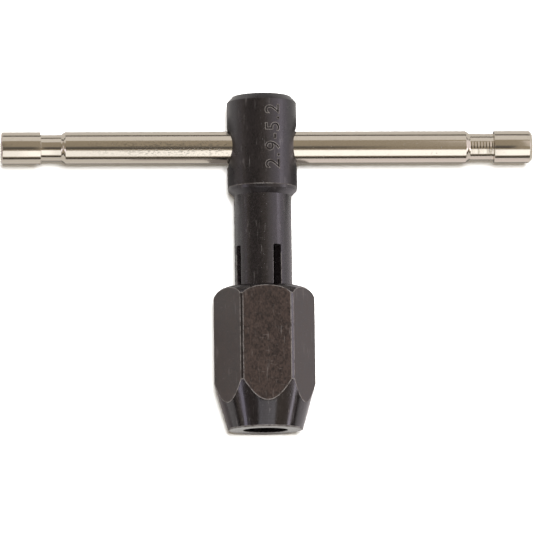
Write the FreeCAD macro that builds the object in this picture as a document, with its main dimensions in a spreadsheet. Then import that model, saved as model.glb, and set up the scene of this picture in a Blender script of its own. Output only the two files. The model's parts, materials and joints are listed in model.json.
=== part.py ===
"""T-handle tap wrench with a sliding bar, as a parametric FreeCAD document.

The tool lies on its side, as it is put down on a bench.  +Z is up, the sliding bar runs along X, and
the chuck's axis is Y, with the nose at y = 0 pointing towards -Y and the head at +Y.  Every turned piece
is drawn in its own frame, with its axis along local z, and is then placed in the tool's frame.
Lengths are millimetres, and heights in the sections are distances from the nose face.
"""
import FreeCAD, Part
import os
from math import pi

import Sketcher
from FreeCAD import Placement, Rotation, Vector

# Driving sizes: alias, value.  Each one is written once, here, and is read from the sheet everywhere.
SIZES = [
    # sliding bar
    ("bar_dia", 6.35),
    ("bar_length", 105.0),
    ("bar_rest_shift", 1.0),
    ("left_end_chamfer", 0.2),
    ("right_end_chamfer", 0.5),
    ("neck_depth", 0.575),
    ("neck_cone_length", 0.85),
    ("left_cap_length", 7.75),
    ("left_neck_length", 4.0),
    ("right_cap_length", 7.5),
    ("right_neck_length", 4.8),
    # body: head, shoulder and shank
    ("wrench_length", 66.3),
    ("head_dia", 13.75),
    ("head_length", 18.1),
    ("head_chamfer_radial", 1.1),
    ("head_chamfer_axial", 1.2),
    ("shoulder_length", 1.75),
    ("shoulder_lip_length", 0.75),
    ("shoulder_lip_taper", 0.12),
    ("shank_dia", 11.3),
    ("bar_depth", 10.05),
    ("bar_play", 0.1),
    ("cross_hole_mouth_width", 0.925),
    # jaws: four spring fingers sawn out of the shank
    ("slot_width", 1.7),
    ("slot_direction_deg", 25.7),
    ("finger_root_gap", 0.06),
    ("jaw_recess", 2.0),
    ("jaw_square", 5.25),
    ("jaw_grip_length", 8.0),
    ("jaw_lead_in", 0.9),
    ("tap_bore_dia", 6.6),
    ("solid_shank_length", 3.9),
    ("thread_dia", 11.1),
    ("thread_length", 22.0),
    # chuck nut
    ("nut_flats", 17.6),
    ("nut_corner_dia", 19.95),
    ("nut_length", 28.25),
    ("nut_rear_round", 3.2),
    ("nut_rear_overrun", 0.2),
    ("nose_dia", 14.8),
    ("nose_slope_deg", 16.0),
    ("nose_edge_break", 0.2),
    ("nose_hole_dia", 8.8),
    ("nose_land_length", 1.5),
    ("grip_cone_deg", 15.0),
    ("grip_cone_gap", 0.05),
    ("nut_thread_play", 0.1),
    ("nut_rear_play", 0.2),
    ("band_offset", 1.835),
    ("band_length", 11.0),
    ("band_wall", 0.95),
    ("band_gap", 0.03),
    # detent in the body below the cross hole
    ("ball_dia", 3.175),
    ("ball_play", 0.04),
    ("ball_bore_play", 0.0625),
    ("screw_dia", 4.0),
    ("screw_length", 4.0),
    ("screw_inset", 0.3),
    ("screw_play", 0.05),
    ("screw_socket_flats", 2.0),
    ("screw_socket_depth", 1.8),
    ("spring_wire_dia", 0.45),
    ("spring_bore_play", 0.2),
    ("spring_reach", 6.95),
    ("spring_turns", 6.0),
    ("spring_end_gap", 0.02),
]


def cell(name):
    """The sheet's value of that name, as it is written in an expression."""
    return "sizes." + name


# Sizes that follow from the driving ones, as expressions on the sheet.
BAR_R = "sizes.bar_dia / 2"
BAR_AXIS = "(sizes.wrench_length - sizes.bar_depth)"
CROSS_HOLE_R = "(sizes.bar_dia / 2 + sizes.bar_play)"
HEAD_R = "sizes.head_dia / 2"
SHANK_R = "sizes.shank_dia / 2"
HEAD_START = "(sizes.wrench_length - sizes.head_length)"
MOUTH_R = "(" + CROSS_HOLE_R + " + sizes.cross_hole_mouth_width)"
THREAD_R = "sizes.thread_dia / 2"
THREAD_BORE_R = "(sizes.thread_dia / 2 + sizes.nut_thread_play)"
NOSE_HOLE_R = "sizes.nose_hole_dia / 2"
HEX_CORNER_R = "(sizes.nut_flats / sqrt(3))"
NUT_CORNER_R = "(sizes.nut_corner_dia / 2)"
OUTSIDE_R = "(sizes.nut_flats / sqrt(3) + 1)"
GRIP_CONE_END = ("(sizes.nose_land_length + (" + THREAD_BORE_R + " - " + NOSE_HOLE_R
                 + ") / tan(sizes.grip_cone_deg))")
BAND_START = "(" + GRIP_CONE_END + " + sizes.band_offset)"
BAND_END = "(" + BAND_START + " + sizes.band_length)"
# From the bar down the shank: ball, spring, screw, the tap's bore, and the slots that end below its floor.
BALL_CENTRE = "(" + BAR_AXIS + " - sizes.bar_dia / 2 - sizes.ball_play - sizes.ball_dia / 2)"
BALL_BORE_R = "(sizes.ball_dia / 2 + sizes.ball_bore_play)"
SCREW_END = "(" + BALL_CENTRE + " - sizes.spring_reach)"
SCREW_START = "(" + SCREW_END + " - sizes.screw_length)"
TAP_BORE_R = "sizes.tap_bore_dia / 2"
TAP_BORE_END = "(" + SCREW_START + " - sizes.screw_inset)"
SLOT_END = "(" + TAP_BORE_END + " - sizes.solid_shank_length)"
COIL_R = "(" + BALL_BORE_R + " - sizes.spring_bore_play - sizes.spring_wire_dia / 2)"
COIL_START = "(" + SCREW_END + " + sizes.spring_wire_dia / 2 + sizes.spring_end_gap)"
COIL_SEAT = "((sizes.ball_dia + sizes.spring_wire_dia) / 2 + sizes.spring_end_gap)"
COIL_END = "(" + BALL_CENTRE + " - sqrt(" + COIL_SEAT + " ^ 2 - " + COIL_R + " ^ 2))"

doc = FreeCAD.newDocument("tap_wrench")

# Local z becomes the tool's +Y, and local x stays X.
ALONG_CHUCK = Rotation(Vector(1, 0, 0), -90)
# Local z becomes the tool's +X.
ALONG_BAR = Rotation(Vector(0, 1, 0), 90)


def make_sheet():
    sheet = doc.addObject("Spreadsheet::Sheet", "sizes")
    for row, (name, value) in enumerate(SIZES, start=1):
        sheet.set("A%d" % row, name)
        sheet.set("B%d" % row, str(value))
        sheet.setAlias("B%d" % row, name)
    doc.recompute()
    return sheet


sheet = make_sheet()


def value(expression):
    """The number that an expression on the sheet gives."""
    return float(sheet.evalExpression(expression))


def new_body(name, rotation=ALONG_CHUCK):
    body = doc.addObject("PartDesign::Body", name)
    body.Label = name
    body.Placement = Placement(Vector(0, 0, 0), rotation)
    return body


def new_sketch(body, name, role):
    """A sketch on one of the body's own origin planes."""
    plane = next(item for item in body.Origin.OriginFeatures if item.Role == role)
    sketch = body.newObject("Sketcher::SketchObject", name)
    sketch.AttachmentSupport = (plane, [""])
    sketch.MapMode = "FlatFace"
    return sketch


def pin(sketch, kind, line, end, expression):
    """Hold one end of a line at a DistanceX or DistanceY from the sketch's origin."""
    number = sketch.addConstraint(
        Sketcher.Constraint(kind, -1, 1, line, end, value(expression)))
    sketch.setExpression("Constraints[%d]" % number, expression)


def pin_point(sketch, line, end, x, y):
    """Hold one end of a line at the place that two expressions give."""
    pin(sketch, "DistanceX", line, end, x)
    pin(sketch, "DistanceY", line, end, y)


def add_loop(sketch, points):
    """A closed outline of straight lines through points given as pairs of expressions."""
    places = [Vector(value(x), value(y), 0) for x, y in points]
    first = sketch.GeometryCount
    count = len(places)
    for index, place in enumerate(places):
        sketch.addGeometry(Part.LineSegment(place, places[(index + 1) % count]), False)
    for index in range(count):
        following = first + (index + 1) % count
        sketch.addConstraint(Sketcher.Constraint("Coincident", first + index, 2, following, 1))
    for index, (x, y) in enumerate(points):
        pin_point(sketch, first + index, 1, x, y)


def add_quarter_corner(sketch, x, y, radius):
    """What lies outside a quarter circle about (x, y): the arc, closed by the square corner round it."""
    centre = Vector(value(x), value(y), 0)
    reach = value(radius)
    right = centre + Vector(reach, 0, 0)
    corner = centre + Vector(reach, reach, 0)
    top = centre + Vector(0, reach, 0)
    circle = Part.Circle(centre, Vector(0, 0, 1), reach)
    arc = sketch.addGeometry(Part.ArcOfCircle(circle, 0, pi / 2), False)
    side = sketch.addGeometry(Part.LineSegment(right, corner), False)
    lid = sketch.addGeometry(Part.LineSegment(corner, top), False)
    pin_point(sketch, arc, 3, x, y)
    pin_point(sketch, side, 1, x + " + " + radius, y)
    pin(sketch, "DistanceX", lid, 2, x)
    sketch.addConstraint(Sketcher.Constraint("Coincident", arc, 1, side, 1))
    sketch.addConstraint(Sketcher.Constraint("Coincident", side, 2, lid, 1))
    sketch.addConstraint(Sketcher.Constraint("Coincident", lid, 2, arc, 2))
    sketch.addConstraint(Sketcher.Constraint("Vertical", side))
    sketch.addConstraint(Sketcher.Constraint("Horizontal", lid))


def add_circle(sketch, x, y, radius):
    centre = Vector(value(x), value(y), 0)
    circle = sketch.addGeometry(Part.Circle(centre, Vector(0, 0, 1), value(radius)), False)
    pin_point(sketch, circle, 3, x, y)
    number = sketch.addConstraint(Sketcher.Constraint("Radius", circle, value(radius)))
    sketch.setExpression("Constraints[%d]" % number, radius)


def add_axis(sketch, y):
    """A construction line across the sketch at height y, to turn a section about."""
    height = value(y)
    line = sketch.addGeometry(Part.LineSegment(Vector(0, height, 0), Vector(1, height, 0)), True)
    pin_point(sketch, line, 1, "0", y)
    pin_point(sketch, line, 2, "1", y)


def turn(body, kind, name, sketch, axis="V_Axis"):
    """A full Revolution or Groove of a sketch."""
    before = body.Shape.Volume if kind == "Groove" else 0.0
    feature = body.newObject("PartDesign::" + kind, name)
    feature.Profile = sketch
    feature.ReferenceAxis = (sketch, [axis])
    feature.Angle = 360
    doc.recompute()
    if kind == "Groove" and not body.Shape.Volume < before:
        raise RuntimeError(name + " cuts nothing")
    return feature


def pad(body, name, sketch, length):
    feature = body.newObject("PartDesign::Pad", name)
    feature.Profile = sketch
    feature.setExpression("Length", length)
    doc.recompute()
    return feature


def pocket(body, name, sketch, length, both_ways=False):
    """A pocket to +normal of its sketch, or half each way, that has to remove something."""
    before = body.Shape.Volume
    feature = body.newObject("PartDesign::Pocket", name)
    feature.Profile = sketch
    feature.Reversed = True
    feature.Midplane = both_ways
    feature.setExpression("Length", length)
    doc.recompute()
    if not body.Shape.Volume < before:
        raise RuntimeError(name + " cuts nothing")
    return feature


def make_wrench_body():
    """Head, shoulder and the solid part of the shank, bored from the nose side for tap, screw and ball."""
    body = new_body("wrench_body")
    section = new_sketch(body, "body_section", "XZ_Plane")
    add_loop(section, [
        (TAP_BORE_R, SLOT_END),
        (SHANK_R, SLOT_END),
        (SHANK_R, HEAD_START + " - sizes.shoulder_length"),
        (HEAD_R + " - sizes.shoulder_lip_taper", HEAD_START + " - sizes.shoulder_lip_length"),
        (HEAD_R, HEAD_START),
        (HEAD_R, "sizes.wrench_length - sizes.head_chamfer_axial"),
        (HEAD_R + " - sizes.head_chamfer_radial", cell("wrench_length")),
        ("0", cell("wrench_length")),
        ("0", BAR_AXIS),
        (BALL_BORE_R, BAR_AXIS),
        (BALL_BORE_R, SCREW_END),
        ("sizes.screw_dia / 2 + sizes.screw_play", SCREW_END),
        ("sizes.screw_dia / 2 + sizes.screw_play", TAP_BORE_END),
        (TAP_BORE_R, TAP_BORE_END),
    ])
    turn(body, "Revolution", "body_turning", section)

    hole = new_sketch(body, "cross_hole_circle", "YZ_Plane")
    add_circle(hole, "0", BAR_AXIS, CROSS_HOLE_R)
    pocket(body, "cross_hole", hole, "2 * sizes.head_dia", both_ways=True)

    mouth_floor = "(" + HEAD_R + " - sizes.cross_hole_mouth_width)"
    mouths = new_sketch(body, "cross_hole_mouths_section", "XZ_Plane")
    for side in ("", "-"):
        add_loop(mouths, [
            (side + mouth_floor, BAR_AXIS),
            (side + mouth_floor, BAR_AXIS + " + " + CROSS_HOLE_R),
            (side + HEAD_R, BAR_AXIS + " + " + MOUTH_R),
            (side + HEAD_R, BAR_AXIS),
        ])
    add_axis(mouths, BAR_AXIS)
    turn(body, "Groove", "cross_hole_mouths", mouths, "Axis0")


def make_jaw(number):
    """One spring finger: a quarter of the shank below the slots, with a flat that grips the tap's square."""
    body = new_body("jaw_%d" % number)
    apex = "(sizes.slot_width / sqrt(2))"
    wedge = new_sketch(body, "jaw_%d_quarter" % number, "XY_Plane")
    add_loop(wedge, [
        (apex, "0"),
        (cell("shank_dia"), "sizes.shank_dia - " + apex),
        (cell("shank_dia"), "-(sizes.shank_dia - " + apex + ")"),
    ])
    root = SLOT_END + " - sizes.finger_root_gap"
    pad(body, "jaw_%d_blank" % number, wedge, root)

    cone_shift = "sizes.grip_cone_gap / cos(sizes.grip_cone_deg)"
    tip_r = (NOSE_HOLE_R + " + (sizes.jaw_recess - sizes.nose_land_length)"
             " * tan(sizes.grip_cone_deg) - " + cone_shift)
    cone_end = (cell("nose_land_length") + " + (" + THREAD_R + " - " + NOSE_HOLE_R + " + " + cone_shift
                + ") / tan(sizes.grip_cone_deg)")
    outside = new_sketch(body, "jaw_%d_outside_section" % number, "XZ_Plane")
    add_loop(outside, [
        ("0", "-1"),
        ("0", cell("jaw_recess")),
        (tip_r, cell("jaw_recess")),
        (THREAD_R, cone_end),
        (THREAD_R, "sizes.jaw_recess + sizes.thread_length"),
        (SHANK_R, "sizes.jaw_recess + sizes.thread_length"),
        (SHANK_R, "sizes.wrench_length"),
        ("2 * sizes.shank_dia", "sizes.wrench_length"),
        ("2 * sizes.shank_dia", "-1"),
    ])
    turn(body, "Groove", "jaw_%d_outside" % number, outside)

    grip_end = "(sizes.jaw_recess + sizes.jaw_grip_length)"
    bore = new_sketch(body, "jaw_%d_bore_section" % number, "XZ_Plane")
    add_loop(bore, [
        ("0", grip_end),
        (TAP_BORE_R, grip_end),
        (TAP_BORE_R, cell("wrench_length")),
        ("0", cell("wrench_length")),
    ])
    add_loop(bore, [
        ("0", "-1"),
        ("sizes.jaw_square / 2 + sizes.jaw_lead_in", "-1"),
        ("sizes.jaw_square / 2 + sizes.jaw_lead_in", cell("jaw_recess")),
        ("sizes.jaw_square / 2", "sizes.jaw_recess + sizes.jaw_lead_in"),
        ("0", "sizes.jaw_recess + sizes.jaw_lead_in"),
    ])
    turn(body, "Groove", "jaw_%d_bore" % number, bore)

    flat = new_sketch(body, "jaw_%d_flat_outline" % number, "XY_Plane")
    add_loop(flat, [
        ("0", cell("jaw_square")),
        ("sizes.jaw_square / 2", cell("jaw_square")),
        ("sizes.jaw_square / 2", "-sizes.jaw_square"),
        ("0", "-sizes.jaw_square"),
    ])
    pocket(body, "jaw_%d_flat" % number, flat, grip_end)

    # The slot's direction is counted from +Z towards +X, and the quarter's middle is halfway to the next.
    middle = value(cell("slot_direction_deg")) + 45 + 90 * (number - 1)
    turned = Rotation(Vector(0, 1, 0), middle - 90)
    body.Placement = Placement(Vector(0, 0, 0), turned * ALONG_CHUCK)


def make_chuck_nut():
    """Hexagon nut, turned over its corners and rounded at the rear, with a long coned nose.

    Inside are the nose hole, the cone that closes the fingers, the band's room and the rear bore.
    """
    body = new_body("chuck_nut")
    half_flats = "sizes.nut_flats / 2"
    half_side = HEX_CORNER_R + " / 2"
    hexagon = new_sketch(body, "nut_hexagon", "XY_Plane")
    add_loop(hexagon, [
        (HEX_CORNER_R, "0"),
        (half_side, half_flats),
        ("-" + half_side, half_flats),
        ("-" + HEX_CORNER_R, "0"),
        ("-" + half_side, "-" + half_flats),
        (half_side, "-" + half_flats),
    ])
    pad(body, "nut_blank", hexagon, cell("nut_length"))

    nose_r = "(sizes.nose_dia / 2)"
    cone_top = ("sizes.nose_edge_break + (" + NUT_CORNER_R + " - " + nose_r
                + ") / tan(sizes.nose_slope_deg)")
    outside = new_sketch(body, "nut_outside_section", "XZ_Plane")
    add_loop(outside, [
        (nose_r + " - sizes.nose_edge_break", "-1"),
        (nose_r + " - sizes.nose_edge_break", "0"),
        (nose_r, cell("nose_edge_break")),
        (NUT_CORNER_R, cone_top),
        (NUT_CORNER_R, "sizes.nut_length + 1"),
        (OUTSIDE_R, "sizes.nut_length + 1"),
        (OUTSIDE_R, "-1"),
    ])
    turn(body, "Groove", "nut_outside", outside)

    rear = new_sketch(body, "nut_rear_section", "XZ_Plane")
    centre_r = NUT_CORNER_R + " + sizes.nut_rear_overrun - sizes.nut_rear_round"
    add_quarter_corner(rear, centre_r, "sizes.nut_length - sizes.nut_rear_round", cell("nut_rear_round"))
    turn(body, "Groove", "nut_rear", rear)

    band_r = "(" + THREAD_BORE_R + " + sizes.band_wall + sizes.band_gap)"
    rear_bore_r = "(" + SHANK_R + " + sizes.nut_rear_play)"
    inside = new_sketch(body, "nut_inside_section", "XZ_Plane")
    add_loop(inside, [
        ("0", "-1"),
        (NOSE_HOLE_R, "-1"),
        (NOSE_HOLE_R, cell("nose_land_length")),
        (THREAD_BORE_R, GRIP_CONE_END),
        (THREAD_BORE_R, BAND_START),
        (band_r, BAND_START),
        (band_r, BAND_END),
        (rear_bore_r, BAND_END),
        (rear_bore_r, "sizes.nut_length + 1"),
        ("0", "sizes.nut_length + 1"),
    ])
    turn(body, "Groove", "nut_inside", inside)


def make_nut_thread():
    """The nut's threaded band, plain inside at the thread's crests."""
    body = new_body("nut_thread")
    section = new_sketch(body, "band_section", "XZ_Plane")
    outer_r = THREAD_BORE_R + " + sizes.band_wall"
    add_loop(section, [
        (THREAD_BORE_R, BAND_START + " + sizes.band_gap"),
        (outer_r, BAND_START + " + sizes.band_gap"),
        (outer_r, BAND_END + " - sizes.band_gap"),
        (THREAD_BORE_R, BAND_END + " - sizes.band_gap"),
    ])
    turn(body, "Revolution", "band_turning", section)


def make_sliding_bar():
    """Straight bar with a turned neck inboard of each end, so that the ball stops it at the end caps."""
    body = new_body("sliding_bar", ALONG_BAR)
    neck_r = BAR_R + " - sizes.neck_depth"
    left_cap = cell("left_cap_length")
    left_neck = left_cap + " + sizes.left_neck_length"
    right_cap = "sizes.bar_length - sizes.right_cap_length"
    right_neck = right_cap + " - sizes.right_neck_length"
    section = new_sketch(body, "bar_section", "XZ_Plane")
    add_loop(section, [
        ("0", "0"),
        (BAR_R + " - sizes.left_end_chamfer", "0"),
        (BAR_R, cell("left_end_chamfer")),
        (BAR_R, left_cap),
        (neck_r, left_cap),
        (neck_r, left_neck),
        (BAR_R, left_neck + " + sizes.neck_cone_length"),
        (BAR_R, right_neck + " - sizes.neck_cone_length"),
        (neck_r, right_neck),
        (neck_r, right_cap),
        (BAR_R, right_cap),
        (BAR_R, "sizes.bar_length - sizes.right_end_chamfer"),
        (BAR_R + " - sizes.right_end_chamfer", cell("bar_length")),
        ("0", cell("bar_length")),
    ])
    turn(body, "Revolution", "bar_turning", section)
    body.setExpression("Placement.Base.x", "sizes.bar_rest_shift - sizes.bar_length / 2")
    body.setExpression("Placement.Base.y", BAR_AXIS)


def place_along_chuck(item, distance):
    """Stand a primitive on the chuck's axis, its base at that distance from the nose face."""
    item.Placement = Placement(Vector(0, 0, 0), ALONG_CHUCK)
    item.setExpression("Placement.Base.y", distance)


def make_detent_ball():
    ball = doc.addObject("Part::Sphere", "detent_ball")
    ball.Label = "detent_ball"
    ball.setExpression("Radius", "sizes.ball_dia / 2")
    place_along_chuck(ball, BALL_CENTRE)


def make_spring_screw():
    """Socket set screw that closes the spring's bore, its hexagon socket towards the nose."""
    shank = doc.addObject("Part::Cylinder", "spring_screw_shank")
    shank.setExpression("Radius", "sizes.screw_dia / 2")
    shank.setExpression("Height", cell("screw_length"))
    place_along_chuck(shank, SCREW_START)
    socket = doc.addObject("Part::Prism", "spring_screw_socket")
    socket.Polygon = 6
    socket.setExpression("Circumradius", "sizes.screw_socket_flats / sqrt(3)")
    socket.setExpression("Height", cell("screw_socket_depth"))
    place_along_chuck(socket, SCREW_START)
    screw = doc.addObject("Part::Cut", "spring_screw")
    screw.Label = "spring_screw"
    screw.Base = shank
    screw.Tool = socket


def make_detent_spring():
    """Coil spring between the screw and the ball, which sits in its last turn."""
    helix = doc.addObject("Part::Helix", "spring_helix")
    helix.setExpression("Radius", COIL_R)
    helix.setExpression("Height", COIL_END + " - " + COIL_START)
    helix.setExpression("Pitch", "(" + COIL_END + " - " + COIL_START + ") / sizes.spring_turns")
    helix.Placement = Placement(Vector(0, 0, 0), ALONG_CHUCK)
    helix.setExpression("Placement.Base.y", COIL_START)
    wire = doc.addObject("Part::Circle", "spring_wire")
    wire.setExpression("Radius", "sizes.spring_wire_dia / 2")
    wire.Placement = Placement(Vector(0, 0, 0), Rotation())
    wire.setExpression("Placement.Base.x", COIL_R)
    wire.setExpression("Placement.Base.y", COIL_START)
    doc.recompute()
    spring = doc.addObject("Part::Sweep", "detent_spring")
    spring.Label = "detent_spring"
    spring.Sections = [wire]
    spring.Spine = (helix, ["Edge%d" % (index + 1) for index in range(len(helix.Shape.Edges))])
    spring.Solid = True
    spring.Frenet = True


make_wrench_body()
JAW_COUNT = 4
for jaw_number in range(1, JAW_COUNT + 1):
    make_jaw(jaw_number)
make_chuck_nut()
make_nut_thread()
make_sliding_bar()
make_detent_ball()
make_spring_screw()
make_detent_spring()
doc.recompute()

for item in doc.Objects:
    if "Invalid" in item.State or "Error" in item.State:
        raise RuntimeError("failed: " + item.Name)

NODES = (["wrench_body"] + ["jaw_%d" % (index + 1) for index in range(JAW_COUNT)]
         + ["chuck_nut", "nut_thread", "sliding_bar", "detent_ball", "spring_screw", "detent_spring"])
for node in NODES:
    shape = doc.getObjectsByLabel(node)[0].Shape
    if shape.isNull() or not shape.isValid() or len(shape.Solids) != 1:
        raise RuntimeError("bad shape: " + node)

os.makedirs("parts", exist_ok=True)
for node in NODES:
    shape = doc.getObjectsByLabel(node)[0].Shape
    shape.exportStep("parts/" + node + ".step")
    print(node, "volume", round(shape.Volume, 2), "box", shape.BoundBox)
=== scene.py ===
"""Looks of a T-handle tap wrench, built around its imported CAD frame.

The wrench lies on its side: +Z is up, the sliding bar runs along X and the chuck's axis is Y, nose at -Y.
Everything is in metres.  Turned pieces are described by profiles, pairs of a place along the axis and a
radius there.  The file is laid out as an add-on: property groups, one operator a piece, one panel.
"""
import json
import math
import random

import bmesh
import bpy
from bpy.props import FloatProperty, FloatVectorProperty, IntProperty, PointerProperty, StringProperty
from mathutils import Matrix, Vector


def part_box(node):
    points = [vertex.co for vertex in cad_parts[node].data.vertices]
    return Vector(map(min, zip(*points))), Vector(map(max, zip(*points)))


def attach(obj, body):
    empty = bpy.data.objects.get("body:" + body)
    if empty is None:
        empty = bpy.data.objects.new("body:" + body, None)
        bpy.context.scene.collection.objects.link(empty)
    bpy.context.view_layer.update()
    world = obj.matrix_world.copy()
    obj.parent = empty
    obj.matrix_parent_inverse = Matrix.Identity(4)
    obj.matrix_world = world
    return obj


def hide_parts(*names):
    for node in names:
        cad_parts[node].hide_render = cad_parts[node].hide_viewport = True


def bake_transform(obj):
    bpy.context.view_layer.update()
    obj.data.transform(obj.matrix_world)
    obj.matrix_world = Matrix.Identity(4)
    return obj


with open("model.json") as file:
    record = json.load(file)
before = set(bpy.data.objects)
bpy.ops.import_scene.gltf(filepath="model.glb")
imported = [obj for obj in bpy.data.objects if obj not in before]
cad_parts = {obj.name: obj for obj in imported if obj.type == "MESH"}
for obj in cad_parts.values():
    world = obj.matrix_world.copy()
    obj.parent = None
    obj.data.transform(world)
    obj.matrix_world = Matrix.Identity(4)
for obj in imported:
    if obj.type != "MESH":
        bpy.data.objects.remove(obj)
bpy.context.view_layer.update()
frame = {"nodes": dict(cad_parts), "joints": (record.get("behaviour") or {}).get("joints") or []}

bl_info = {
    "name": "Tap Wrench Looks",
    "version": (1, 0, 0),
    "blender": (4, 5, 0),
    "location": "View3D > Sidebar > Tap Wrench",
    "description": "Pieces, finishes and stage of a T-handle tap wrench",
    "category": "Object",
}

MM = 0.001
ALONG_Y = Vector((0, 1, 0))
# Places in the list of materials of a black piece, after its main finish.
WORN = 1
SECOND_FINISH = 2


# ---------------------------------------------------------------- places read from the frame

def joint_named(name):
    return next(joint for joint in frame["joints"] if joint["name"] == name)


BODY_LOW, BODY_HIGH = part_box("wrench_body")
BAR_LOW, BAR_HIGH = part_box("sliding_bar")
NUT_LOW, NUT_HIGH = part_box("chuck_nut")
HEAD_R = BODY_HIGH[0]
HEAD_END = BODY_HIGH[1]
SLOT_END = BODY_LOW[1]
BAR_AXIS = (BAR_LOW[1] + BAR_HIGH[1]) / 2
BAR_R = (BAR_HIGH[1] - BAR_LOW[1]) / 2
JAW_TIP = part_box("jaw_1")[0][1]
FLOOR_Z = NUT_LOW[2]
FINGERS = [1, 2, 3, 4]


def node_mesh(name):
    """A welded copy of a CAD node's mesh, as a bmesh."""
    mesh = bmesh.new()
    mesh.from_mesh(frame["nodes"][name].data)
    bmesh.ops.remove_doubles(mesh, verts=mesh.verts, dist=2e-7)
    return mesh


def turned_profile(name):
    """The outline of a turned CAD node along X: (place, radius) pairs, steps in the right order."""
    digits = 6
    on_axis = 1e-5
    pairs = set()
    for vertex in frame["nodes"][name].data.vertices:
        radius = math.hypot(vertex.co.y - BAR_AXIS, vertex.co.z)
        pairs.add((round(vertex.co.x, digits), round(radius, digits)))
    outline = []
    for place in sorted({pair[0] for pair in pairs}):
        radii = sorted({pair[1] for pair in pairs if pair[0] == place and pair[1] > on_axis})
        if outline and abs(radii[-1] - outline[-1][1]) < abs(radii[0] - outline[-1][1]):
            radii.reverse()
        outline += [(place, radius) for radius in (radii[0], radii[-1])[:len(radii)]]
    return outline


# ---------------------------------------------------------------- settings

class WrenchSizes(bpy.types.PropertyGroup):
    """Sizes that the finish adds to the CAD shapes, or that its outlines are drawn from."""

    edge_round: FloatProperty(
        name="Edge rounding", description="Radius of a deburred edge",
        default=0.1 * MM, unit="LENGTH")
    nut_edge: FloatProperty(
        name="Nut edge width", description="Width of the worn edge on the nut",
        default=0.1 * MM, unit="LENGTH")
    head_length: FloatProperty(
        name="Head length", description="Head's end face to the foot of its cylinder",
        default=18.1 * MM, unit="LENGTH")
    shoulder_length: FloatProperty(
        name="Shoulder length", description="Length of the cone between head and shank",
        default=1.75 * MM, unit="LENGTH")
    lip_length: FloatProperty(
        name="Lip length", description="Length of the tapered lip below the head",
        default=0.75 * MM, unit="LENGTH")
    lip_taper: FloatProperty(
        name="Lip taper", description="How far the lip below the head tapers in",
        default=0.12 * MM, unit="LENGTH")
    lip_burr: FloatProperty(
        name="Lip burr", description="Half the width of the burr on the head's lower edge",
        default=0.07 * MM, unit="LENGTH")
    head_chamfer_radial: FloatProperty(
        name="Head chamfer, radial", description="How far the end chamfer goes in",
        default=1.1 * MM, unit="LENGTH")
    head_chamfer_axial: FloatProperty(
        name="Head chamfer, axial", description="How far the end chamfer goes down",
        default=1.2 * MM, unit="LENGTH")
    shank_radius: FloatProperty(
        name="Shank radius", description="Radius of the slotted shank",
        default=5.65 * MM, unit="LENGTH")
    cross_hole_radius: FloatProperty(
        name="Cross hole radius", description="Radius of the bar's hole in the head",
        default=3.275 * MM, unit="LENGTH")
    mouth_width: FloatProperty(
        name="Mouth chamfer", description="Width of the chamfer at the cross hole's mouths",
        default=0.925 * MM, unit="LENGTH")
    slot_width: FloatProperty(
        name="Slot width", description="Width of the four slots in the shank",
        default=1.7 * MM, unit="LENGTH")
    slot_corner: FloatProperty(
        name="Slot corner", description="Radius in the corners of a slot's end",
        default=0.25 * MM, unit="LENGTH")
    thread_radius: FloatProperty(
        name="Thread radius", description="Radius over the fingers' thread",
        default=5.55 * MM, unit="LENGTH")
    thread_end: FloatProperty(
        name="Thread end", description="Nose face to the end of the fingers' thread",
        default=24.0 * MM, unit="LENGTH")
    cone_end: FloatProperty(
        name="Cone end", description="Nose face to the end of the fingers' cone",
        default=5.985 * MM, unit="LENGTH")
    tip_radius: FloatProperty(
        name="Tip radius", description="Radius of the fingers' cone at their tips",
        default=4.482 * MM, unit="LENGTH")
    jaw_square: FloatProperty(
        name="Jaw square", description="Distance across the jaws' flats at rest",
        default=5.25 * MM, unit="LENGTH")
    jaw_grip_end: FloatProperty(
        name="Grip end", description="Nose face to the end of the jaws' flats",
        default=10.0 * MM, unit="LENGTH")
    jaw_lead_in: FloatProperty(
        name="Lead-in", description="Size of the cone at the jaws' mouth",
        default=0.9 * MM, unit="LENGTH")
    tap_bore_radius: FloatProperty(
        name="Tap bore radius", description="Radius of the bore behind the jaws",
        default=3.3 * MM, unit="LENGTH")
    screw_bore_radius: FloatProperty(
        name="Screw bore radius", description="Radius of the set screw's hole",
        default=2.05 * MM, unit="LENGTH")
    ball_bore_radius: FloatProperty(
        name="Ball bore radius", description="Radius of the detent ball's bore",
        default=1.65 * MM, unit="LENGTH")
    feed_pitch: FloatProperty(
        name="Feed pitch", description="Pitch of the turned ridges in the bar's right neck",
        default=0.58 * MM, unit="LENGTH")
    feed_depth: FloatProperty(
        name="Feed depth", description="Height of the ridges in the bar's right neck",
        default=0.055 * MM, unit="LENGTH")
    around: IntProperty(
        name="Segments", description="Faces around a turned piece", default=144, min=24)
    mark_text: StringProperty(
        name="Size mark", description="Range stamped into the head, digits only", default="2.9-5.2")
    mark_height: FloatProperty(
        name="Digit height", description="Height of the stamped digits",
        default=3.0 * MM, unit="LENGTH")
    mark_depth: FloatProperty(
        name="Digit depth", description="Depth of the stamped digits",
        default=0.2 * MM, unit="LENGTH")
    mark_lip: FloatProperty(
        name="Burr height", description="Height of the burr thrown up round the digits",
        default=0.045 * MM, unit="LENGTH")
    mark_angle: FloatProperty(
        name="Mark angle", description="Where round the head the marks are stamped, from the top",
        default=math.radians(13.5), unit="ROTATION")


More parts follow.
